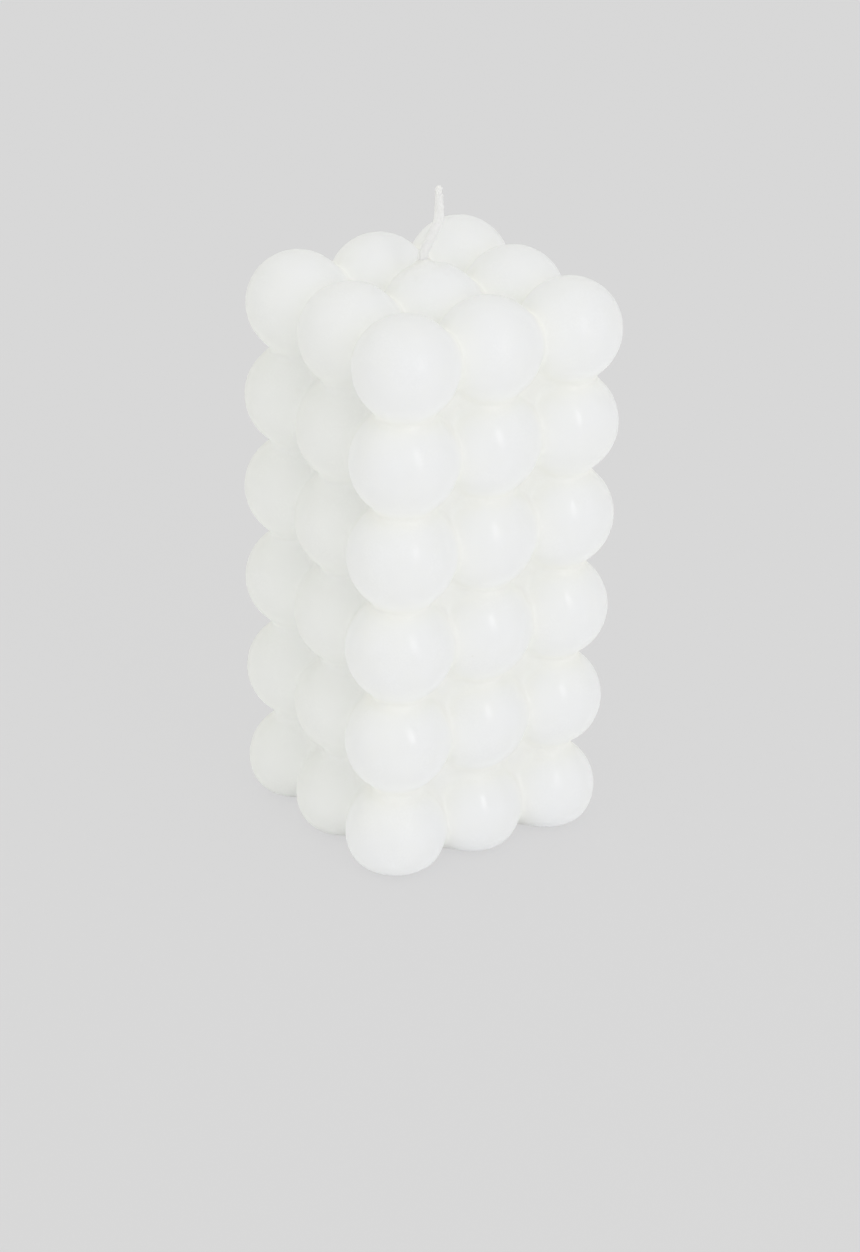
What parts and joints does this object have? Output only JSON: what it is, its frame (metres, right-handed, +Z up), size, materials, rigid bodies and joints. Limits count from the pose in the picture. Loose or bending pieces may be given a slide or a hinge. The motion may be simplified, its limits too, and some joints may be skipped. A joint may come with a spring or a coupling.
{
  "type": "candle",
  "caption": "Square pillar candle cast as one block of fused round balls of white wax, with a flat base and a short waxed wick standing out of its top.",
  "frame": {"origin": "middle of the flat base, at the bottom of the candle's bounding box", "axes": "+Z up along the candle's height, +X and +Y along the sides of its square"},
  "size_m": [0.0598, 0.0598, 0.1361],
  "materials": {
    "wax": "satin white wax",
    "wick": "braided cotton soaked in wax"
  },
  "bodies": {
    "root": {"wax_body": "wax", "wick": "wick"}
  },
  "joints": []
}
